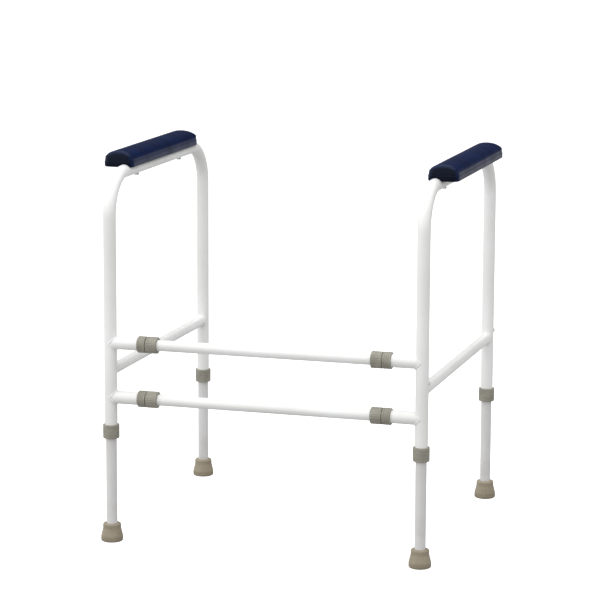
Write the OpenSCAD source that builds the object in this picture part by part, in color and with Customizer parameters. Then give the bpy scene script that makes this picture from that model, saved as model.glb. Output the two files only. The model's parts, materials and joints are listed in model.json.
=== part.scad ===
// Free-standing toilet safety frame: two arched side frames with padded arms, joined in
// front by two rails of adjustable width, on four legs of adjustable height.
// Millimetres. +X is right, +Y is to the back, +Z is up. The origin is on the floor,
// midway between the four legs. side is left or right, end is front or back.

/* [Overall] */
// Distance between the left and right legs, centre to centre
leg_gap_x = 550; // [450:1:680]
// Distance between the front and rear legs, centre to centre
leg_gap_y = 487; // [400:0.5:600]
// Height of the arm tube's centreline
arm_z = 636.5; // [530:0.5:780]
// Radius of the arm tube's bends, at the centreline
arm_bend_r = 70; // [45:1:90]

/* [Tubes] */
// Outer diameter of the frame tube
tube_d = 22.2; // [18:0.1:27]
// Wall of the frame tube
tube_wall = 1.2; // [0.9:0.05:1.6]
// Wall of the tube that slides inside the frame tube
slider_wall = 1.2; // [0.9:0.05:1.6]
// Radial gap between the sliding tube and the frame tube
slider_gap = 0.375; // [0.2:0.005:0.6]
// Outer diameter of the side rails
side_rail_d = 19; // [15:0.1:22]
// Height of the side rails
side_rail_z = 301.5; // [290:0.5:330]

/* [Front rails] */
// Height of the upper front rail
upper_rail_z = 350; // [320:0.5:420]
// Height of the lower front rail
lower_rail_z = 255; // [225:0.5:285]
// Distance from a leg's centreline to the near end of the rail collar
rail_collar_from_leg = 51.5; // [42:0.5:70]
// Travel of a front rail into a stub, on each side
narrow_travel = 25; // [10:0.5:30]
// Space left at the end of that travel
rail_end_space = 2; // [1:0.5:5]
// Distance of a stub's first edge from the leg's centre plane
stub_start = 2; // [1:0.5:4]
// Thickness of the glide's flange
glide_flange = 3; // [2:0.5:5]
// Length of the glide's spigot, inside the rail
glide_spigot = 12; // [8:0.5:20]

/* [Rail collars] */
// Wall of the rail collars and their nuts outside the frame tube
rail_collar_wall = 3.2; // [2.5:0.1:5]
// Length of the collar's gripping sleeve on the stub
rail_sleeve_len = 14.5; // [12:0.5:24]
// Depth of the lip that the stub's mouth butts against
rail_lip = 2; // [1.5:0.5:4]
// Length of the nose that the nut turns on
nose_len = 11; // [8:0.5:16]
// Wall of that nose
nose_wall = 2.4; // [1.8:0.1:3]
// Groove left between the collar and its nut
nut_groove = 1; // [0.6:0.1:2]
// Length of the nut
nut_len = 19.5; // [18:0.5:28]
// Length of the nut's front lip
nut_lip = 3; // [2:0.5:5]
// Number of grip flutes round the nut
nut_flutes = 20; // [12:1:28]
// Depth of a grip flute
flute_depth = 0.5; // [0.3:0.05:0.7]
// Diameter of the cutter that makes a flute
flute_d = 2.6; // [2:0.1:3.2]
// Width of the split in the collet
collet_split = 2; // [1.2:0.1:3]
// Taper of the collet's outside, on the radius
collet_taper = 1.4; // [0.8:0.1:1.8]

/* [Leg collars] */
// Height of the leg collar's middle above the floor
leg_collar_z = 195; // [180:0.5:200]
// Height of the leg collar
leg_collar_h = 24; // [18:0.5:26]
// Wall of the leg collar outside the frame tube
leg_collar_wall = 3.1; // [2.5:0.1:5]
// Thickness of the collar's lower lip, which guides the leg
leg_collar_lip = 3; // [2:0.5:5]
// Number of grooves round the leg collar
collar_grooves = 3; // [1:1:4]
// Depth of such a groove, which is twice as wide
groove_depth = 0.5; // [0.3:0.05:0.7]
// Rounding of the collars' outer edges
collar_round = 1.2; // [0.5:0.1:2]

/* [Arm pads] */
// Width of an arm pad
pad_w = 54; // [45:1:72]
// Distance of the pad's centreline outside the arm tube's
pad_offset = 12; // [0:0.5:16]
// Depth by which the arm tube is sunk in the pad
pad_sink = 5.1; // [3:0.1:6]
// Distance from the front leg's centreline to the pad's front
pad_front_gap = 71; // [50:0.5:90]
// Distance from the rear leg's centreline to the pad's rear
pad_rear_gap = 53.5; // [50:0.5:90]
// Height of the pad's straight side
pad_side_h = 10; // [9:0.5:16]
// Height of the pad's crown above that side
pad_crown_h = 18; // [8:0.5:20]
// Inset of the pad's top from its sides
pad_crown_inset = 14; // [6:0.5:18]
// Corner radius of the pad at the front
pad_front_r = 10; // [6:0.5:14]
// Corner radius of the pad at the rear
pad_rear_r = 24; // [10:0.5:28]
// Thickness of the pad's skirt round the base plate
pad_skirt = 4; // [2.5:0.5:6]
// Thickness of the base plate
base_h = 7; // [6:0.5:8]
// Distance between an arm's two screws
screw_gap = 220; // [150:5:250]
// Diameter of the screws
screw_d = 4.8; // [4:0.1:6]
// Length of screw in the base plate
screw_bite = 5.8; // [4:0.1:6]
// Diameter of a screw's head
screw_head_d = 9.4; // [8:0.1:12]
// Height of a screw's head
screw_head_h = 3; // [2:0.1:4]
// Rounding of a screw's head
screw_head_r = 1; // [0.5:0.1:1.5]
// Width of the cross slot in a screw's head
screw_slot = 1.4; // [1:0.1:2]
// Length of that slot
screw_slot_len = 6; // [4:0.1:7]
// Depth of that slot
screw_slot_depth = 1.5; // [0.8:0.1:1.8]

/* [Feet] */
// Wall of a ferrule at the floor
ferrule_base_wall = 9.7; // [7:0.1:14]
// Wall of a ferrule at its top
ferrule_top_wall = 6.2; // [4.5:0.1:9]
// Height of a ferrule
ferrule_h = 32; // [26:0.5:40]
// Height of a ferrule's straight foot band
ferrule_band_h = 9; // [5:0.5:12]
// Height of a ferrule's straight lip at its top
ferrule_lip_h = 9; // [5:0.5:12]
// Rounding of a ferrule's edges
ferrule_round = 3; // [1:0.5:4]
// Thickness of rubber under the leg's washer
ferrule_sole = 6; // [4:0.5:9]
// Number of ring grooves in the sole
sole_grooves = 2; // [1:1:3]
// Width of such a groove
sole_groove_w = 2.4; // [1.5:0.1:3]
// Depth of such a groove
sole_groove_h = 1.2; // [0.8:0.1:2]
// Thickness of the steel washer in a ferrule
washer_h = 1.2; // [0.8:0.1:2]

/* [Height adjustment] */
// Distance between the height holes
hole_pitch = 25; // [20:1:30]
// Number of height holes in a leg
hole_count = 7; // [5:1:8]
// Number of the hole that the button is in, counted from the lowest
rest_hole = 5; // [3:1:6]
// Turn of the buttons from straight back towards the outside, in degrees
button_turn = 45; // [30:1:60]
// Diameter of the snap button
button_d = 8; // [6:0.1:9]
// Height of the button above the frame tube
button_rise = 2.8; // [1.5:0.1:4]
// Rounding of the button's tip
button_round = 2; // [1:0.1:2.5]
// Thickness of the button's inner flange
button_flange_h = 0.8; // [0.6:0.1:1.2]
// Diameter of the button's inner flange
button_flange_d = 10; // [8:0.1:11]
// Thickness of the snap spring's strip
strip_t = 0.6; // [0.4:0.1:0.8]
// Width of that strip
strip_w = 7; // [5:0.1:8]
// Length of the spring below the button
spring_drop = 24; // [15:0.5:40]
// Length of the spring's arms above the button
spring_rise = 7; // [5:0.5:12]
// Length of leg tube above the button
leg_above_button = 22; // [15:0.5:40]

/* [Clearances] */
// Radial gap where a plastic bush guides a sliding tube
bush_gap = 0.1; // [0.05:0.01:0.15]
// Radial gap round the snap button
button_gap = 0.1; // [0.05:0.01:0.2]
// Radial gap round parts that turn
turn_gap = 0.3; // [0.2:0.05:0.5]
// Radial gap of the screws in the arm tube
screw_gap_r = 0.2; // [0.1:0.05:0.4]
// Gap between the button's flange corners and the leg tube
flange_gap = 0.3; // [0.2:0.05:0.6]

/* [Hidden] */
$fn = 64;
left = -1;
right = 1;
front = -1;
back = 1;
over = 1;
arc_steps = 5;
crown_steps = 6;
powder_white = [0.93, 0.94, 0.93];
collar_grey = [0.48, 0.47, 0.43];
ferrule_grey = [0.52, 0.50, 0.45];
pad_navy = [0.07, 0.09, 0.27];
plastic_black = [0.05, 0.05, 0.06];
steel = [0.72, 0.73, 0.74];
leg_x = leg_gap_x / 2;
leg_y = leg_gap_y / 2;
tube_r = tube_d / 2;
slider_d = tube_d - 2 * tube_wall - 2 * slider_gap;
slider_bore = slider_d - 2 * slider_wall;
glide_d = tube_d - 2 * tube_wall - 2 * bush_gap;
glide_bore = slider_bore - 2 * slider_wall;
rail_collar_d = tube_d + 2 * rail_collar_wall;
leg_collar_d = tube_d + 2 * leg_collar_wall;
ferrule_base_d = slider_d + 2 * ferrule_base_wall;
ferrule_top_d = slider_d + 2 * ferrule_top_wall;
bend_z = arm_z - arm_bend_r;
bend_y = leg_y - arm_bend_r;
leg_collar_low = leg_collar_z - leg_collar_h / 2;
leg_mouth_z = leg_collar_low + leg_collar_lip;
first_hole_z = side_rail_z - (floor(hole_count / 2) + 0.5) * hole_pitch;
button_z = first_hole_z + (rest_hole - 1) * hole_pitch;
leg_low_z = ferrule_sole + washer_h;
leg_top_z = button_z + leg_above_button;
flange_out = sqrt(pow(slider_bore / 2 - flange_gap, 2) - pow(button_flange_d / 2, 2));
flange_in = flange_out - button_flange_h;
spring_back = sqrt(pow(slider_bore / 2 - flange_gap, 2) - pow(strip_w / 2, 2));
rail_from_leg = tube_r + rail_end_space + narrow_travel;
stub_end = rail_collar_from_leg + rail_sleeve_len - rail_lip;
nose_end = rail_collar_from_leg + rail_sleeve_len + nose_len;
nut_start = rail_collar_from_leg + rail_sleeve_len + nut_groove;
nut_end = nut_start + nut_len;
bush_d = slider_d + 2 * bush_gap;
nose_d = bush_d + 2 * nose_wall;
pad_low = arm_z + tube_r - pad_sink;
pad_h = pad_side_h + pad_crown_h;
pad_front = -leg_y + pad_front_gap;
pad_rear = leg_y - pad_rear_gap;

// Points along an arc, for outlines with round stretches
function arc(cx, cy, r, from, to) =
    [for (i = [0 : arc_steps])
        let (a = from + (to - from) * i / arc_steps)
        [cx + r * cos(a), cy + r * sin(a)]];

// A length of round tube along +Z
module tube(d, wall, length) {
    difference() {
        cylinder(d = d, h = length);
        translate([0, 0, -over]) cylinder(d = d - 2 * wall, h = length + 2 * over);
    }
}

// A ring with rounded outer edges, along +Z
module band(d, length, r) {
    rotate_extrude() polygon(concat(
        [[0, 0]],
        arc(d / 2 - r, r, r, -90, 0),
        arc(d / 2 - r, length - r, r, 0, 90),
        [[0, length]]
    ));
}

// A V groove round a ring of diameter d, centred on the XY plane
module ring_groove(d, depth) {
    rotate_extrude() polygon([
        [d / 2 - depth, 0],
        [d / 2 + depth, -2 * depth],
        [d / 2 + depth, 2 * depth]
    ]);
}

// Puts its children on a leg's centreline
module at_leg(side, end) {
    translate([side * leg_x, end * leg_y, 0]) children();
}

// Puts its children on a front rail's axis, with +Z running from the leg to the middle
module at_rail(side, rail_z) {
    translate([side * leg_x, front * leg_y, rail_z]) rotate([0, -side * 90, 0]) children();
}

// Turns its children so that +Z points out of a leg the way its snap button does
module facing_button(side) {
    rotate([0, 0, 90 - side * button_turn]) rotate([0, 90, 0]) children();
}

// Side frames

// A solid rod along the whole arch, open ends run on by past
module arch_rod(d, past) {
    for (end = [front, back]) {
        translate([0, end * leg_y, leg_mouth_z - past]) cylinder(d = d, h = bend_z - leg_mouth_z + past);
        translate([0, end * bend_y, bend_z]) rotate([90, 0, end * 90])
            rotate_extrude(angle = 90) translate([arm_bend_r, 0]) circle(d = d);
    }
    translate([0, bend_y, arm_z]) rotate([90, 0, 0]) cylinder(d = d, h = 2 * bend_y);
}

module arched_tube(side) {
    color(powder_white) difference() {
        translate([side * leg_x, 0, 0]) difference() {
            arch_rod(tube_d, 0);
            arch_rod(tube_d - 2 * tube_wall, over);
        }
        for (end = [front, back], i = [0 : hole_count - 1])
            at_leg(side, end)
                translate([0, 0, first_hole_z + i * hole_pitch]) facing_button(side)
                    cylinder(d = button_d + 2 * button_gap, h = tube_d);
        for (end = [front, back])
            translate([side * leg_x, end * screw_gap / 2, arm_z - tube_d])
                cylinder(d = screw_d + 2 * screw_gap_r, h = 2 * tube_d);
    }
}

module side_rail(side) {
    color(powder_white) difference() {
        translate([side * leg_x, leg_y, side_rail_z]) rotate([90, 0, 0])
            tube(side_rail_d, tube_wall, leg_gap_y);
        for (end = [front, back])
            at_leg(side, end) translate([0, 0, side_rail_z - tube_d]) cylinder(d = tube_d, h = 2 * tube_d);
    }
}

module stub(side, rail_z) {
    color(powder_white) difference() {
        at_rail(side, rail_z) translate([0, 0, stub_start]) tube(tube_d, tube_wall, stub_end - stub_start);
        at_leg(side, front) translate([0, 0, rail_z - tube_d]) cylinder(d = tube_d, h = 2 * tube_d);
    }
}

module leg_collar(side, end) {
    color(collar_grey) at_leg(side, end) translate([0, 0, leg_collar_low]) difference() {
        band(leg_collar_d, leg_collar_h, collar_round);
        translate([0, 0, -over]) cylinder(d = bush_d, h = leg_collar_h);
        translate([0, 0, leg_collar_lip]) cylinder(d = tube_d, h = leg_collar_h);
        for (i = [1 : collar_grooves])
            translate([0, 0, i * leg_collar_h / (collar_grooves + 1)])
                ring_groove(leg_collar_d, groove_depth);
    }
}

module rail_collar(side, rail_z) {
    color(collar_grey) at_rail(side, rail_z) difference() {
        union() {
            translate([0, 0, rail_collar_from_leg]) band(rail_collar_d, rail_sleeve_len, collar_round);
            translate([0, 0, stub_end]) cylinder(d = nose_d, h = nose_end - stub_end);
        }
        translate([0, 0, rail_collar_from_leg - over])
            cylinder(d = tube_d, h = stub_end - rail_collar_from_leg + over);
        cylinder(d = bush_d, h = nose_end + over);
        for (i = [1 : collar_grooves])
            translate([0, 0, rail_collar_from_leg + i * rail_sleeve_len / (collar_grooves + 1)])
                ring_groove(rail_collar_d, groove_depth);
    }
}

module collet(side, rail_z) {
    collet_len = nut_end - nut_lip - turn_gap - nose_end;
    color(plastic_black) at_rail(side, rail_z) translate([0, 0, nose_end]) difference() {
        cylinder(d1 = nose_d, d2 = nose_d - 2 * collet_taper, h = collet_len);
        translate([0, 0, -over]) cylinder(d = bush_d, h = collet_len + 2 * over);
        translate([0, -collet_split / 2, -over]) cube([nose_d, collet_split, collet_len + 2 * over]);
    }
}

// Front rails

module nut(side, rail_z) {
    color(collar_grey) at_rail(side, rail_z) translate([0, 0, nut_start]) difference() {
        band(rail_collar_d, nut_len, collar_round);
        translate([0, 0, -over]) cylinder(d = nose_d + 2 * turn_gap, h = nut_len - nut_lip + over);
        cylinder(d = slider_d + 2 * turn_gap, h = nut_len + over);
        for (i = [0 : nut_flutes - 1])
            rotate([0, 0, i * 360 / nut_flutes])
                translate([rail_collar_d / 2 + flute_d / 2 - flute_depth, 0, -over])
                    cylinder(d = flute_d, h = nut_len - nut_lip + over);
    }
}

module rail_tube(rail_z) {
    rail_len = leg_gap_x - 2 * rail_from_leg - 2 * glide_flange;
    color(powder_white) translate([-rail_len / 2, front * leg_y, rail_z]) rotate([0, 90, 0])
        tube(slider_d, slider_wall, rail_len);
}

module rail_glides(rail_z) {
    glide_len = glide_flange + glide_spigot;
    color(plastic_black) for (side = [left, right])
        at_rail(side, rail_z) translate([0, 0, rail_from_leg]) difference() {
            union() {
                cylinder(d = glide_d, h = glide_flange);
                cylinder(d = slider_bore, h = glide_len);
            }
            translate([0, 0, -over]) cylinder(d = glide_bore, h = glide_len + 2 * over);
        }
}

// Legs

module leg_tube(side, end) {
    color(powder_white) at_leg(side, end) difference() {
        translate([0, 0, leg_low_z]) tube(slider_d, slider_wall, leg_top_z - leg_low_z);
        translate([0, 0, button_z]) facing_button(side)
            cylinder(d = button_d + 2 * button_gap, h = tube_d);
    }
}

module ferrule(side, end) {
    color(ferrule_grey) at_leg(side, end) difference() {
        rotate_extrude() polygon(concat(
            [[0, 0]],
            arc(ferrule_base_d / 2 - ferrule_round, ferrule_round, ferrule_round, -90, 0),
            [[ferrule_base_d / 2, ferrule_band_h]],
            [[ferrule_top_d / 2, ferrule_h - ferrule_lip_h]],
            arc(ferrule_top_d / 2 - ferrule_round, ferrule_h - ferrule_round, ferrule_round, 0, 90),
            [[0, ferrule_h]]
        ));
        translate([0, 0, ferrule_sole]) cylinder(d = slider_d, h = ferrule_h);
        for (i = [1 : sole_grooves])
            rotate_extrude() translate([i * ferrule_base_d / 2 / (sole_grooves + 1), -over])
                square([sole_groove_w, over + sole_groove_h]);
        translate([0, 0, ferrule_band_h]) ring_groove(ferrule_base_d, groove_depth);
    }
}

module washer(side, end) {
    color(steel) at_leg(side, end) translate([0, 0, ferrule_sole]) cylinder(d = slider_d, h = washer_h);
}

module snap_spring(side, end) {
    bend_r = (flange_in + spring_back) / 2;
    color(steel) at_leg(side, end) translate([0, 0, button_z]) rotate([0, 0, 90 - side * button_turn])
        rotate([90, 0, 0]) linear_extrude(height = strip_w, center = true) {
            translate([flange_in - strip_t, -spring_drop]) square([strip_t, spring_drop + spring_rise]);
            translate([-spring_back, -spring_drop]) square([strip_t, spring_drop + spring_rise]);
            translate([flange_in - bend_r, -spring_drop]) difference() {
                circle(r = bend_r);
                circle(r = bend_r - strip_t);
                translate([-bend_r - over, 0]) square([2 * (bend_r + over), bend_r + over]);
            }
        }
}

module snap_button(side, end) {
    tip = tube_r + button_rise;
    color(steel) at_leg(side, end) translate([0, 0, button_z]) facing_button(side)
        rotate_extrude() polygon(concat(
            [[0, flange_in], [button_flange_d / 2, flange_in], [button_flange_d / 2, flange_out]],
            [[button_d / 2, flange_out]],
            arc(button_d / 2 - button_round, tip - button_round, button_round, 0, 90),
            [[0, tip]]
        ));
}

// Arms

// Outline of an arm pad, pulled in by inset all round, with its two front corners at -Y
module pad_outline(side, inset) {
    x0 = side * (leg_x + pad_offset) - pad_w / 2 + inset;
    x1 = x0 + pad_w - 2 * inset;
    y0 = pad_front + inset;
    y1 = pad_rear - inset;
    rf = max(pad_front_r - inset, 1);
    rb = max(pad_rear_r - inset, 1);
    polygon(concat(
        arc(x0 + rf, y0 + rf, rf, 180, 270),
        arc(x1 - rf, y0 + rf, rf, 270, 360),
        arc(x1 - rb, y1 - rb, rb, 0, 90),
        arc(x0 + rb, y1 - rb, rb, 90, 180)
    ));
}

module arm_tube_channel(side, gap) {
    translate([side * leg_x, pad_rear + over, arm_z]) rotate([90, 0, 0])
        cylinder(r = tube_r + gap, h = pad_rear - pad_front + 2 * over);
}

module base_block(side, below) {
    translate([0, 0, pad_low - below]) linear_extrude(height = base_h + below) pad_outline(side, pad_skirt);
}

module screw_shanks(side) {
    for (end = [front, back])
        translate([side * leg_x, end * screw_gap / 2, arm_z - tube_r])
            cylinder(d = screw_d, h = pad_low + screw_bite - arm_z + tube_r);
}

module arm_base(side) {
    color(plastic_black) difference() {
        base_block(side, 0);
        arm_tube_channel(side, 0);
        screw_shanks(side);
    }
}

// Section of the pad between two sides: upright, then drawn in by a quarter ellipse to a flat top
function crowned(from, to) = concat(
    [[from, 0], [to, 0]],
    [for (i = [0 : crown_steps]) [to - crown_in(i), pad_side_h + crown_up(i)]],
    [for (i = [crown_steps : -1 : 0]) [from + crown_in(i), pad_side_h + crown_up(i)]]
);
function crown_in(i) = pad_crown_inset * (1 - cos(90 * i / crown_steps));
function crown_up(i) = pad_crown_h * sin(90 * i / crown_steps);

module arm_pad(side) {
    inner = side * (leg_x + pad_offset) - pad_w / 2;
    color(pad_navy) difference() {
        translate([0, 0, pad_low]) intersection() {
            linear_extrude(height = pad_h) pad_outline(side, 0);
            translate([0, pad_rear + over, 0]) rotate([90, 0, 0])
                linear_extrude(height = pad_rear - pad_front + 2 * over)
                    polygon(crowned(inner, inner + pad_w));
            translate([inner - over, 0, 0]) rotate([90, 0, 90])
                linear_extrude(height = pad_w + 2 * over) polygon(crowned(pad_front, pad_rear));
        }
        base_block(side, over);
        arm_tube_channel(side, turn_gap);
    }
}

module arm_screws(side) {
    color(steel) {
        screw_shanks(side);
        for (end = [front, back])
            translate([side * leg_x, end * screw_gap / 2, arm_z - tube_r - screw_head_h]) difference() {
                band(screw_head_d, screw_head_h, screw_head_r);
                for (turn = [0, 90])
                    rotate([0, 0, turn]) translate([-screw_slot_len / 2, -screw_slot / 2, -over])
                        cube([screw_slot_len, screw_slot, over + screw_slot_depth]);
            }
    }
}

arched_tube(left);  // left_arched_tube
side_rail(left);  // left_side_rail
stub(left, upper_rail_z);  // left_upper_stub
stub(left, lower_rail_z);  // left_lower_stub
leg_collar(left, front);  // left_front_leg_collar
leg_collar(left, back);  // left_rear_leg_collar
rail_collar(left, upper_rail_z);  // left_upper_rail_collar
rail_collar(left, lower_rail_z);  // left_lower_rail_collar
collet(left, upper_rail_z);  // left_upper_collet
collet(left, lower_rail_z);  // left_lower_collet
arm_base(left);  // left_arm_base
arm_pad(left);  // left_arm_pad
arm_screws(left);  // left_arm_screws
arched_tube(right);  // right_arched_tube
side_rail(right);  // right_side_rail
stub(right, upper_rail_z);  // right_upper_stub
stub(right, lower_rail_z);  // right_lower_stub
leg_collar(right, front);  // right_front_leg_collar
leg_collar(right, back);  // right_rear_leg_collar
rail_collar(right, upper_rail_z);  // right_upper_rail_collar
rail_collar(right, lower_rail_z);  // right_lower_rail_collar
collet(right, upper_rail_z);  // right_upper_collet
collet(right, lower_rail_z);  // right_lower_collet
arm_base(right);  // right_arm_base
arm_pad(right);  // right_arm_pad
arm_screws(right);  // right_arm_screws
rail_tube(upper_rail_z);  // upper_rail_tube
rail_tube(lower_rail_z);  // lower_rail_tube
rail_glides(upper_rail_z);  // upper_rail_glides
rail_glides(lower_rail_z);  // lower_rail_glides
nut(left, upper_rail_z);  // left_upper_nut
nut(left, lower_rail_z);  // left_lower_nut
nut(right, upper_rail_z);  // right_upper_nut
nut(right, lower_rail_z);  // right_lower_nut
leg_tube(left, front);  // left_front_leg_tube
ferrule(left, front);  // left_front_ferrule
washer(left, front);  // left_front_washer
snap_spring(left, front);  // left_front_snap_spring
snap_button(left, front);  // left_front_snap_button
leg_tube(right, front);  // right_front_leg_tube
ferrule(right, front);  // right_front_ferrule
washer(right, front);  // right_front_washer
snap_spring(right, front);  // right_front_snap_spring
snap_button(right, front);  // right_front_snap_button
leg_tube(left, back);  // left_rear_leg_tube
ferrule(left, back);  // left_rear_ferrule
washer(left, back);  // left_rear_washer
snap_spring(left, back);  // left_rear_snap_spring
snap_button(left, back);  // left_rear_snap_button
leg_tube(right, back);  // right_rear_leg_tube
ferrule(right, back);  // right_rear_ferrule
washer(right, back);  // right_rear_washer
snap_spring(right, back);  // right_rear_snap_spring
snap_button(right, back);  // right_rear_snap_button
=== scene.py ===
import json
import math
import bmesh
import bpy
from mathutils import Euler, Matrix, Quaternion, Vector


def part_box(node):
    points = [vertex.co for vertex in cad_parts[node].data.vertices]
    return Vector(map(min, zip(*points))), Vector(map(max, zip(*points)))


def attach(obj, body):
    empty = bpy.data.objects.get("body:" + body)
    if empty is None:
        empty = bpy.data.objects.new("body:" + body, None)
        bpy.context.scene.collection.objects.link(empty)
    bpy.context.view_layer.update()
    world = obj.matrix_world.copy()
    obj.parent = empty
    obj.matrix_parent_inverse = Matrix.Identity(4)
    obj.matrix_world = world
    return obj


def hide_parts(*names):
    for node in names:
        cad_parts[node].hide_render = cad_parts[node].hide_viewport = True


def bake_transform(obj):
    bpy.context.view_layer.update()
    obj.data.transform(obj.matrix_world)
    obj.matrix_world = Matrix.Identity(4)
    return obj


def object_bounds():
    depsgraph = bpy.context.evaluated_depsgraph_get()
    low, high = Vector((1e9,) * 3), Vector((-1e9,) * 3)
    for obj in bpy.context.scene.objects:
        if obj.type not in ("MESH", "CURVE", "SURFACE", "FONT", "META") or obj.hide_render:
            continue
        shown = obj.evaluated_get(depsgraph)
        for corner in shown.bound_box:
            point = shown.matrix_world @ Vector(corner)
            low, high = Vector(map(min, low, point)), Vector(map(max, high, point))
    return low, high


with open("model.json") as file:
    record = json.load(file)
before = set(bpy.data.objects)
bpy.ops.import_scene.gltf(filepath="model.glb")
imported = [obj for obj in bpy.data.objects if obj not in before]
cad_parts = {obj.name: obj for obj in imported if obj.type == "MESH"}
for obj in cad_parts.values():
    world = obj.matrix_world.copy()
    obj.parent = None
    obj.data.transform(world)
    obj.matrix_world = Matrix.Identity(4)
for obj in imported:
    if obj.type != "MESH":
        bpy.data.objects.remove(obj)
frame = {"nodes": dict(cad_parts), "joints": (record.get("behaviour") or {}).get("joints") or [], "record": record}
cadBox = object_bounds()
nodes = frame["nodes"]
print("frame loaded:", len(nodes), "nodes")

shot = {
    "right": 1.3041,     # metres to the right of the model's middle
    "front": 4.3529,     # metres in front of it
    "height": 1.2282,
    "yaw": 16.80,        # degrees turned left, towards the model
    "tilt": 10.365,      # degrees looking down
    "roll": 0.246,       # degrees the camera leans to its left
    "lens": 156.97,
    "sensor": 36,
    "reach": 200,        # metres that the camera sees
}


def makeCamera(place):
    camera = bpy.data.cameras.new("camera")
    camera.lens = place["lens"]
    camera.sensor_width = place["sensor"]
    camera.clip_end = place["reach"]
    holder = bpy.data.objects.new("camera", camera)
    holder.location = (place["right"], -place["front"], place["height"])
    aim = Euler((math.radians(90 - place["tilt"]), 0, math.radians(place["yaw"]))).to_quaternion()
    lean = Quaternion((0, 0, 1), math.radians(place["roll"]))
    holder.rotation_euler = (aim @ lean).to_euler()
    bpy.context.collection.objects.link(holder)
    bpy.context.scene.camera = holder


makeCamera(shot)
print("camera placed")


# A shader value that Python can do sums on
class Value:
    def __init__(self, finish, socket):
        self.finish = finish
        self.socket = socket

    def combined(self, operation, first, second):
        return self.finish.node("ShaderNodeMath", {"operation": operation}, {0: first, 1: second})

    def __add__(self, other):
        return self.combined("ADD", self, other)

    def __radd__(self, other):
        return self.combined("ADD", other, self)

    def __sub__(self, other):
        return self.combined("SUBTRACT", self, other)

    def __rsub__(self, other):
        return self.combined("SUBTRACT", other, self)

    def __mul__(self, other):
        return self.combined("MULTIPLY", self, other)

    def __rmul__(self, other):
        return self.combined("MULTIPLY", other, self)


# A node tree being built, of a material or of the world
class Finish:
    def __init__(self, owner):
        owner.use_nodes = True
        self.owner = owner
        self.tree = owner.node_tree
        self.tree.nodes.clear()

    # output is a number or a name
    def node(self, kind, settings=None, sockets=None, output=0):
        made = self.tree.nodes.new(kind)
        for key, value in (settings or {}).items():
            setattr(made, key, value)
        for key, value in (sockets or {}).items():
            if isinstance(value, Value):
                self.tree.links.new(value.socket, made.inputs[key])
            else:
                made.inputs[key].default_value = value
        return Value(self, made.outputs[output]) if made.outputs else None

    def place(self):
        return self.node("ShaderNodeTexCoord", output="Object")

    def stretched(self, scale):
        return self.node("ShaderNodeMapping", {}, {"Vector": self.place(), "Scale": scale})

    def part(self, vector, axis):
        return self.node("ShaderNodeSeparateXYZ", {}, {"Vector": vector}, output=axis)

    def height(self):
        return self.part(self.place(), "Z")

    def noise(self, scale, detail=3, roughness=0.5, where=None):
        return self.node("ShaderNodeTexNoise", {}, {
            "Vector": where or self.place(), "Scale": scale, "Detail": detail, "Roughness": roughness})

    def between(self, value, low, high, start=0.0, end=1.0):
        return self.node("ShaderNodeMapRange", {"clamp": True}, {
            "Value": value, "From Min": low, "From Max": high, "To Min": start, "To Max": end})

    def mixed(self, share, first, second):
        # the Mix node's colour sockets have no names of their own
        return self.node("ShaderNodeMix", {"data_type": "RGBA"}, {0: share, 6: first, 7: second}, output=2)

    # soft patches, from 0 to 1
    def clouded(self, wanted, detail=4):
        return self.between(self.noise(wanted["cloudScale"], detail, 0.6), *wanted["cloudRange"])

    def bump(self, height, strength, distance):
        return self.node("ShaderNodeBump", {}, {"Height": height, "Strength": strength, "Distance": distance})

    def surface(self, **sockets):
        named = {key.replace("_", " "): value for key, value in sockets.items()}
        shader = self.node("ShaderNodeBsdfPrincipled", {}, named)
        self.node("ShaderNodeOutputMaterial", {}, {"Surface": shader})
        return self.owner


def newFinish(name):
    return Finish(bpy.data.materials.new(name))


def rgb(colour):
    return (*colour, 1.0)


# How bright the surroundings are in each direction, seen from the model
studio = {
    "zenith": 1.45,
    "side": 1.15,
    "ahead": 0.06,         # beyond the model, above the horizon
    "behind": 1.25,        # behind the camera, above the horizon
    "lowSide": 0.55,
    "lowAhead": 0.70,
    "lowBehind": 0.40,
    "lean": 0.22,          # how much brighter the left is than the right
    "backdrop": 1.0,       # where the surroundings are seen directly
    "turnStart": 0.25,     # how far to the front or back a direction points where the sides end
    "turnFull": 0.85,
    "lowRise": -0.03,      # the horizon is soft between these
    "highRise": 0.05,
    "topStart": 0.5,
    "topFull": 0.9,
}


def makeWorld(wanted):
    world = Finish(bpy.context.scene.world or bpy.data.worlds.new("studio"))
    bpy.context.scene.world = world.owner
    direction = world.node("ShaderNodeTexCoord", output="Generated")
    across = world.part(direction, "X")
    depth = world.part(direction, "Y")
    rise = world.part(direction, "Z")
    ahead = world.between(depth, wanted["turnStart"], wanted["turnFull"])
    behind = world.between(depth, -wanted["turnStart"], -wanted["turnFull"])
    high = world.between(rise, wanted["lowRise"], wanted["highRise"])
    top = world.between(rise, wanted["topStart"], wanted["topFull"])
    side, lowSide = wanted["side"], wanted["lowSide"]
    upper = side + ahead * (wanted["ahead"] - side) + behind * (wanted["behind"] - side)
    lower = lowSide + ahead * (wanted["lowAhead"] - lowSide) + behind * (wanted["lowBehind"] - lowSide)
    level = lower + high * (upper - lower)
    strength = (level + top * (wanted["zenith"] - level)) * (1 - wanted["lean"] * across)
    seen = world.node("ShaderNodeLightPath", output="Is Camera Ray")
    shown = strength + seen * (wanted["backdrop"] - strength)
    glow = world.node("ShaderNodeBackground", {}, {"Color": rgb((1, 1, 1)), "Strength": shown})
    world.node("ShaderNodeOutputWorld", {}, {"Surface": glow})


ground = {
    "size": 120,
    "paint": (0.8, 0.8, 0.8),
    "rough": 0.9,
    "glow": 0.5,      # keeps it white all over
}


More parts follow.
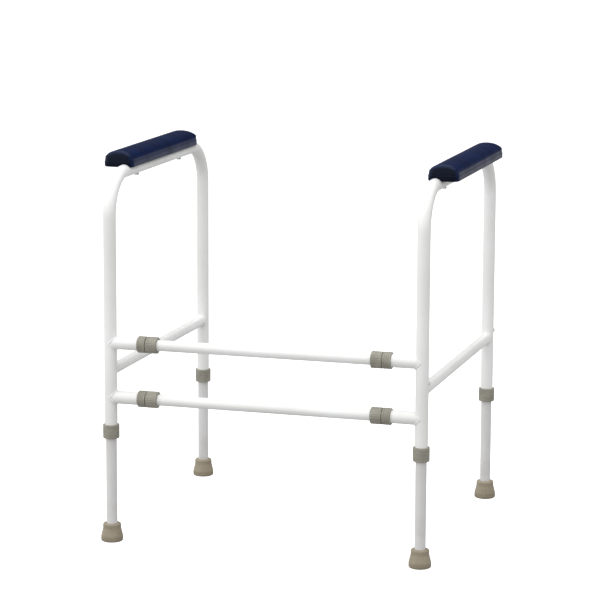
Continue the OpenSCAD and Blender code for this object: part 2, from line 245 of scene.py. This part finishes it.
def makeFloor(wanted):
    # low enough to leave room for the legs at their longest
    legTravel = [joint["range_m"][0] for joint in frame["joints"] if joint["name"].endswith("_height")]
    level = cadBox[0][2] + min(legTravel)
    half = wanted["size"] / 2
    corners = [(-half, -half, level), (half, -half, level), (half, half, level), (-half, half, level)]
    mesh = bpy.data.meshes.new("floor")
    mesh.from_pydata(corners, [], [(0, 1, 2, 3)])
    floor = bpy.data.objects.new("floor", mesh)
    bpy.context.collection.objects.link(floor)
    mesh.materials.append(newFinish("floorPaint").surface(
        Base_Color=rgb(wanted["paint"]), Roughness=wanted["rough"],
        Emission_Color=rgb((1, 1, 1)), Emission_Strength=wanted["glow"]))
    floor.visible_diffuse = False     # the surroundings light the model from below instead
    floor.visible_glossy = False


lamps = {
    "top": {"place": (0.2, -0.3, 3.4), "aim": (0, 0, 0.4), "size": 2.4, "power": 24},
    "left": {"place": (-2.6, -2.6, 2.4), "aim": (0, 0, 0.4), "size": 1.2, "power": 14},
}


def makeLamp(name, wanted):
    light = bpy.data.lights.new(name, "AREA")
    light.shape = "SQUARE"
    light.size = wanted["size"]
    light.energy = wanted["power"]
    holder = bpy.data.objects.new(name, light)
    holder.location = wanted["place"]
    aim = Vector(wanted["aim"]) - Vector(wanted["place"])
    holder.rotation_euler = aim.to_track_quat("-Z", "Y").to_euler()
    bpy.context.collection.objects.link(holder)


makeWorld(studio)
makeFloor(ground)
for name, wanted in lamps.items():
    makeLamp(name, wanted)
bpy.context.scene.view_settings.view_transform = "Standard"
print("studio ready")

# A scale sets how fine a pattern is, and a range the levels of it between which it fades in
whiteCoat = {
    "clean": (0.86, 0.87, 0.86),
    "shade": (0.78, 0.78, 0.76),
    "cloudScale": 7,
    "cloudRange": (0.35, 0.7),
    "grime": (0.50, 0.47, 0.41),
    "grimeFull": 0.03,     # metres up to where the dirt from the floor is thickest
    "grimeGone": 0.13,
    "grimeShare": 0.5,
    "smudgeScale": 38,
    "smudgeRange": (0.46, 0.72),
    "rubScale": (700, 700, 9),
    "rubRange": (0.60, 0.74),
    "rubShare": 0.05,      # how strongly the long rub marks show
    "rough": 0.30,
    "cloudRough": 0.16,
    "smudgeRough": 0.10,
    "gloss": 0.25,
    "glossRough": 0.12,
    "peelScale": 900,
    "peel": 0.10,
    "peelDepth": 0.0004,
}

# the inner legs are more rubbed, from sliding; their greyer colour is painted shade, for the lesser light low down
legCoatPaintedShade = {
    **whiteCoat,
    # painted shade: a greyer white than the rest of the frame
    "clean": (0.69, 0.69, 0.69),
    "shade": (0.61, 0.60, 0.59),
    "grime": (0.46, 0.42, 0.38),
    "rubShare": 0.30,
}


def powderCoat(name, wanted):
    coat = newFinish(name)
    cloud = coat.noise(wanted["cloudScale"], detail=4)
    dirt = coat.between(coat.height(), wanted["grimeFull"], wanted["grimeGone"], 1, 0)
    smudge = coat.between(coat.noise(wanted["smudgeScale"], detail=5, roughness=0.65), *wanted["smudgeRange"])
    streaks = coat.noise(1, roughness=0.6, where=coat.stretched(wanted["rubScale"]))
    rub = coat.between(streaks, *wanted["rubRange"])
    dulled = wanted["grimeShare"] * dirt * smudge + wanted["rubShare"] * rub
    shade = coat.between(cloud, *wanted["cloudRange"])
    colour = coat.mixed(shade, rgb(wanted["clean"]), rgb(wanted["shade"]))
    return coat.surface(
        Base_Color=coat.mixed(dulled, colour, rgb(wanted["grime"])),
        Roughness=wanted["rough"] + wanted["cloudRough"] * cloud + wanted["smudgeRough"] * smudge,
        Coat_Weight=wanted["gloss"],
        Coat_Roughness=wanted["glossRough"],
        Normal=coat.bump(coat.noise(wanted["peelScale"], detail=2), wanted["peel"], wanted["peelDepth"]),
    )


moulding = {
    "cloudScale": 55,
    "cloudRange": (0.35, 0.7),
    "cloudShare": 0.75,
    "cloudRough": 0.12,
    "speckScale": 2600,
    "speckRange": (0.45, 0.65),
    "speckShare": 0.2,
    "grainDepth": 0.0003,
}

collar = {
    **moulding,
    "light": (0.315, 0.298, 0.248),
    "dark": (0.210, 0.196, 0.165),
    "rough": 0.40,
    "grain": 0.20,
}

blackPart = {
    **moulding,
    "light": (0.028, 0.028, 0.031),
    "dark": (0.014, 0.014, 0.016),
    "rough": 0.45,
    "grain": 0.25,
}


def mouldedPlastic(name, wanted):
    plastic = newFinish(name)
    cloud = plastic.clouded(wanted)
    speck = plastic.between(plastic.noise(wanted["speckScale"], detail=2), *wanted["speckRange"])
    share = wanted["cloudShare"] * cloud + wanted["speckShare"] * speck
    return plastic.surface(
        Base_Color=plastic.mixed(share, rgb(wanted["light"]), rgb(wanted["dark"])),
        Roughness=wanted["rough"] + wanted["cloudRough"] * cloud,
        Normal=plastic.bump(speck, wanted["grain"], wanted["grainDepth"]),
    )


ferrule = {
    "light": (0.310, 0.265, 0.195),
    "dark": (0.245, 0.205, 0.148),
    "cloudScale": 45,
    "cloudRange": (0.35, 0.7),
    "scuffed": (0.17, 0.14, 0.09),
    "scuffTop": 0.011,     # metres up the ferrule
    "scuffShare": 0.55,
    "dust": (0.42, 0.38, 0.30),
    "dustScale": 420,
    "dustRange": (0.5, 0.7),
    "dustShare": 0.25,
    "rough": 0.62,
    "dustRough": 0.2,
    "grainScale": 1500,
    "dustGrain": 0.4,
    "grain": 0.25,
    "grainDepth": 0.0004,
}


def ferruleRubber(name, wanted):
    rubber = newFinish(name)
    cloud = rubber.clouded(wanted, detail=5)
    foot = rubber.between(rubber.height(), 0, wanted["scuffTop"], 1, 0)
    dust = rubber.between(rubber.noise(wanted["dustScale"], roughness=0.7), *wanted["dustRange"])
    grain = rubber.noise(wanted["grainScale"]) + wanted["dustGrain"] * dust
    colour = rubber.mixed(cloud, rgb(wanted["light"]), rgb(wanted["dark"]))
    colour = rubber.mixed(wanted["scuffShare"] * foot, colour, rgb(wanted["scuffed"]))
    return rubber.surface(
        Base_Color=rubber.mixed(wanted["dustShare"] * dust, colour, rgb(wanted["dust"])),
        Roughness=wanted["rough"] + wanted["dustRough"] * dust,
        Normal=rubber.bump(grain, wanted["grain"], wanted["grainDepth"]),
    )


skin = {
    "light": (0.003, 0.012, 0.060),
    "dark": (0.002, 0.006, 0.032),
    "cloudScale": 26,
    "cloudRange": (0.35, 0.7),
    "end": (0.001, 0.001, 0.003),     # painted shade: the front end is coloured almost black for the shade that falls on it
    "paintedShadeRange": (-0.55, -0.95),       # where the surface turns to face the front
    "paintedShadeShare": 0.85,
    "rough": 0.30,
    "cloudRough": 0.10,
    "shine": 0.16,
    "shineTint": (0.68, 0.82, 1.0),
    "grainScale": 620,
    "creaseWidth": 0.18,
    "grain": 0.12,
    "grainDepth": 0.0003,
}


def padSkin(name, wanted):
    leather = newFinish(name)
    cloud = leather.clouded(wanted)
    cells = leather.node("ShaderNodeTexVoronoi", {"feature": "DISTANCE_TO_EDGE"}, {
        "Vector": leather.place(), "Scale": wanted["grainScale"], "Randomness": 1})
    crease = leather.between(cells, 0, wanted["creaseWidth"])
    facing = leather.node("ShaderNodeTexCoord", output="Normal")
    # painted shade: faces turned to the front take the almost black end colour
    front = leather.between(leather.part(facing, "Y"), *wanted["paintedShadeRange"])
    colour = leather.mixed(cloud, rgb(wanted["light"]), rgb(wanted["dark"]))
    return leather.surface(
        Base_Color=leather.mixed(wanted["paintedShadeShare"] * front, colour, rgb(wanted["end"])),
        Roughness=wanted["rough"] + wanted["cloudRough"] * cloud,
        Specular_IOR_Level=wanted["shine"],
        Specular_Tint=rgb(wanted["shineTint"]),
        Normal=leather.bump(crease, wanted["grain"], wanted["grainDepth"]),
    )


zinc = {
    "light": (0.74, 0.75, 0.77),
    "dark": (0.55, 0.56, 0.58),
    "cloudScale": 160,
    "brushScale": (300, 300, 3000),
    "rough": 0.24,
    "brushRough": 0.18,
    "brush": 0.08,
    "brushDepth": 0.0002,
}


def platedSteel(name, wanted):
    plating = newFinish(name)
    cloud = plating.noise(wanted["cloudScale"], detail=4, roughness=0.6)
    brushed = plating.noise(1, detail=2, roughness=0.6, where=plating.stretched(wanted["brushScale"]))
    return plating.surface(
        Base_Color=plating.mixed(cloud, rgb(wanted["light"]), rgb(wanted["dark"])),
        Metallic=1,
        Roughness=wanted["rough"] + wanted["brushRough"] * brushed,
        Normal=plating.bump(brushed, wanted["brush"], wanted["brushDepth"]),
    )


finishBySlot = {
    "powder_white": powderCoat("whiteCoat", whiteCoat),
    "leg_white": powderCoat("legCoatPaintedShade", legCoatPaintedShade),
    "collar_grey": mouldedPlastic("collarPlastic", collar),
    "plastic_black": mouldedPlastic("darkPlastic", blackPart),
    "ferrule_grey": ferruleRubber("ferruleRubber", ferrule),
    "pad_navy": padSkin("padSkin", skin),
    "steel": platedSteel("platedSteel", zinc),
}


def dress(piece, slot):
    piece.data.materials.clear()
    piece.data.materials.append(finishBySlot[slot])


for row in frame["record"]["subparts"]:
    dress(nodes[row["node"]], row["material_slot"])
print("finishes ready")


def addPiece(name, points, faces, body, slot, smoothAngle):
    mesh = bpy.data.meshes.new(name)
    mesh.from_pydata([tuple(point) for point in points], [], faces)
    made = bmesh.new()
    made.from_mesh(mesh)
    bmesh.ops.recalc_face_normals(made, faces=made.faces)
    for face in made.faces:
        face.smooth = True
    for edge in made.edges:
        if edge.is_manifold and edge.calc_face_angle() > math.radians(smoothAngle):
            edge.smooth = False
    made.to_mesh(mesh)
    made.free()
    piece = bpy.data.objects.new(name, mesh)
    bpy.context.collection.objects.link(piece)
    dress(piece, slot)
    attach(piece, body)
    return piece


# The faces between rings of points that lie one after another in a list
def ringFaces(ringSize, ringCount, closed=False):
    faces = []
    for ring in range(ringCount if closed else ringCount - 1):
        here, there = ring * ringSize, (ring + 1) % ringCount * ringSize
        for i in range(ringSize):
            j = (i + 1) % ringSize
            faces.append((here + i, here + j, there + j, there + i))
    return faces


# The faces that close one ring, whose left half mirrors its right half
def capFaces(start, ringSize):
    last = ringSize // 2
    across = [(start + i, start + ringSize - i) for i in range(1, last)]
    faces = [(start, *across[0])]
    for (right, left), (nextRight, nextLeft) in zip(across, across[1:]):
        faces.append((right, nextRight, nextLeft, left))
    faces.append((across[-1][0], start + last, across[-1][1]))
    return faces


def middle(name):
    low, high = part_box(name)
    return (low + high) / 2, high - low


# In metres. The pad's overall size comes from its solid.
pad = {
    "sideHeight": 0.0100,
    "ledge": 0.0007,          # how far the crown is set in from the side band
    "ledgeRise": 0.0006,
    "frontCorner": 0.012,     # corner radii, seen from above
    "rearCorner": 0.027,
    "leastCorner": 0.0008,
    "frontRoll": 0.009,       # how far in the crown rounds down to each end
    "rearRoll": 0.038,
    "crownPower": 2.3,        # 2 is an ellipse across, more is flatter
    "skirt": 0.004,           # wall round the hollow underside
    "skirtDepth": 0.007,
    "notchGap": 0.0004,       # clear of the tube in its groove
    "edge": 0.0012,           # a rounded edge, in two steps
    "bevel": 0.0004,
    "rimTuck": 0.00015,
    "crownTuck": 0.00006,
    "sideShares": (0.3, 0.6, 0.85, 1.0),
    "rimShares": (0.045, 0.052, 0.064),
    "crownStart": 0.07,
    "crownSpan": 0.91,
    "crownRings": 16,
    "cornerSteps": 14,
    "frontSteps": 30,
    "sideSteps": 40,
    "smoothAngle": 50,
}


# From the middle of the front, round the right side, to the middle of the rear
def halfOutline(width, length, inset, wanted):
    halfWidth, halfLength = width / 2 - inset, length / 2 - inset
    front = min(max(wanted["frontCorner"] - inset, wanted["leastCorner"]), halfWidth)
    rear = min(max(wanted["rearCorner"] - inset, wanted["leastCorner"]), halfWidth)
    frontSteps, sideSteps, cornerSteps = wanted["frontSteps"], wanted["sideSteps"], wanted["cornerSteps"]
    points = [((halfWidth - front) * i / frontSteps, -halfLength) for i in range(frontSteps)]
    for i in range(cornerSteps):
        turn = math.radians(-90 + 90 * i / cornerSteps)
        across, along = front * math.cos(turn), front * math.sin(turn)
        points.append((halfWidth - front + across, -halfLength + front + along))
    for i in range(sideSteps):
        points.append((halfWidth, -halfLength + front + (2 * halfLength - front - rear) * i / sideSteps))
    for i in range(cornerSteps):
        turn = math.radians(90 * i / cornerSteps)
        across, along = rear * math.cos(turn), rear * math.sin(turn)
        points.append((halfWidth - rear + across, halfLength - rear + along))
    for i in range(frontSteps + 1):
        points.append(((halfWidth - rear) * (1 - i / frontSteps), halfLength))
    return points


def armPad(side, wanted):
    node = side + "_arm_pad"
    centre, size = middle(node)
    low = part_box(node)[0].z
    tubeCentre, tubeSize = middle(side + "_arched_tube")
    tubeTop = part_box(side + "_arched_tube")[1].z
    tubeR = tubeSize.x / 2
    halfWidth, halfLength = size.x / 2 - wanted["ledge"], size.y / 2 - wanted["ledge"]
    sideHeight, edge, bevel, skirt = wanted["sideHeight"], wanted["edge"], wanted["bevel"], wanted["skirt"]
    rim = sideHeight - wanted["ledgeRise"]

    def crown(x, y):
        across = max(1 - abs(x / halfWidth) ** wanted["crownPower"], 0) ** 0.5
        fromFront, fromRear = y + halfLength, halfLength - y
        height = size.z - sideHeight
        if fromFront < wanted["frontRoll"]:
            share = 1 - fromFront / wanted["frontRoll"]
            height -= wanted["frontRoll"] * (1 - math.sqrt(max(1 - share * share, 0)))
        if fromRear < wanted["rearRoll"]:
            share = 1 - fromRear / wanted["rearRoll"]
            height *= math.sqrt(max(1 - share * share, 0))
        return sideHeight + height * across

    # 0, or the groove's height where the pad sits over the tube
    def underside(x):
        away = centre.x + x - tubeCentre.x
        reach = tubeR + wanted["notchGap"]
        if abs(away) >= reach:
            return 0
        return max(0, tubeTop - tubeR + math.sqrt(reach * reach - away * away) - low)

    def level(height):
        return lambda x, y: height

    def lifted(extra):
        return lambda x, y: underside(x) + extra

    def upSide(share):
        return lambda x, y: (underside(x) + edge) * (1 - share) + (rim - bevel) * share

    # each ring is how far it is set in, and its height at a point
    rings = [
        (skirt, level(wanted["skirtDepth"])),
        (skirt, lambda x, y: min(underside(x) + edge, wanted["skirtDepth"])),
        (skirt - bevel, lifted(bevel)),
        (skirt - edge, lifted(0)),
        (edge, lifted(0)),
        (bevel, lifted(bevel)),
        (0, lifted(edge)),
    ]
    rings += [(0, upSide(share)) for share in wanted["sideShares"]]
    rings += [
        (wanted["rimTuck"], level(rim)),
        (wanted["ledge"], level(rim)),
        (wanted["ledge"] + wanted["crownTuck"], level(sideHeight)),
    ]
    rings += [(share * halfWidth, crown) for share in wanted["rimShares"]]
    for i in range(1, wanted["crownRings"]):
        share = wanted["crownStart"] + wanted["crownSpan"] * i / (wanted["crownRings"] - 1)
        rings.append((share * halfWidth, crown))

    points = []
    for inset, rise in rings:
        half = halfOutline(size.x, size.y, inset, wanted)
        loop = half + [(-x, y) for x, y in reversed(half[1:-1])]
        points += [(centre.x + x, centre.y + y, low + rise(x, y)) for x, y in loop]
    ringSize = len(points) // len(rings)
    faces = ringFaces(ringSize, len(rings))
    faces += capFaces(0, ringSize) + capFaces((len(rings) - 1) * ringSize, ringSize)
    piece = addPiece(side + "ArmPad", points, faces, side + "_frame", "pad_navy", wanted["smoothAngle"])
    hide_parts(node)


sides = ("left", "right")
for side in sides:
    armPad(side, pad)
print("arm pads ready")

weld = {
    "bead": 0.0012,       # radius of the bead
    "lift": 0.0006,       # out from the upright tube's face
    "spread": 1.01,       # out from the joining tube's face
    "ripple": 0.14,
    "ripples": 34,
    "steps": 204,
    "sides": 10,
    "smoothAngle": 70,
}


# A rippled bead where a tube of radius railR leaves an upright of radius legR.
# root is on the upright's middle line, and along points out of it.
def weldBead(name, body, root, along, railR, legR, wanted):
    up = Vector((0, 0, 1))
    sideways = up.cross(along)
    path = []
    for k in range(wanted["steps"]):
        turn = 2 * math.pi * k / wanted["steps"]
        offset = railR * math.cos(turn)
        out = math.sqrt(max(legR * legR - offset * offset, 0)) + wanted["lift"]
        rise = railR * math.sin(turn)
        path.append(root + along * out + sideways * offset * wanted["spread"] + up * rise * wanted["spread"])
    points = []
    for k, here in enumerate(path):
        ahead = (path[(k + 1) % len(path)] - path[k - 1]).normalized()
        first = ahead.cross(along).normalized()
        second = ahead.cross(first)
        swell = 1 + wanted["ripple"] * math.sin(2 * math.pi * wanted["ripples"] * k / len(path))
        for i in range(wanted["sides"]):
            turn = 2 * math.pi * i / wanted["sides"]
            outward = first * math.cos(turn) + second * math.sin(turn)
            points.append(here + outward * wanted["bead"] * swell)
    faces = ringFaces(wanted["sides"], len(path), closed=True)
    addPiece(name, points, faces, body, "powder_white", wanted["smoothAngle"])


def weldSide(side, wanted):
    inward = Vector((1, 0, 0)) if side == "left" else Vector((-1, 0, 0))
    tubeLow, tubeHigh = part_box(side + "_arched_tube")
    legR = (tubeHigh.x - tubeLow.x) / 2
    legX = (tubeHigh.x + tubeLow.x) / 2
    frontY, rearY = tubeLow.y + legR, tubeHigh.y - legR
    body = side + "_frame"
    for level in ("upper", "lower"):
        centre, size = middle(side + "_" + level + "_stub")
        root = Vector((legX, frontY, centre.z))
        weldBead(side + level.title() + "Weld", body, root, inward, size.z / 2, legR, wanted)
    centre, size = middle(side + "_side_rail")
    for end, y, along in (("Front", frontY, Vector((0, 1, 0))), ("Rear", rearY, Vector((0, -1, 0)))):
        root = Vector((legX, y, centre.z))
        weldBead(side + end + "RailWeld", body, root, along, size.x / 2, legR, wanted)


for side in sides:
    weldSide(side, weld)
print("welds ready")


# The snap spring inside a leg, copied from its solid and dressed in steel; its arms don't move here
def snapSpring(side, end):
    leg = side + "_" + end
    node = leg + "_snap_spring"
    piece = bpy.data.objects.new(side + end.title() + "Spring", nodes[node].data.copy())
    bpy.context.collection.objects.link(piece)
    dress(piece, "steel")
    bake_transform(piece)
    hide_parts(node)


for side in sides:
    for end in ("front", "rear"):
        snapSpring(side, end)
print("snap springs ready")
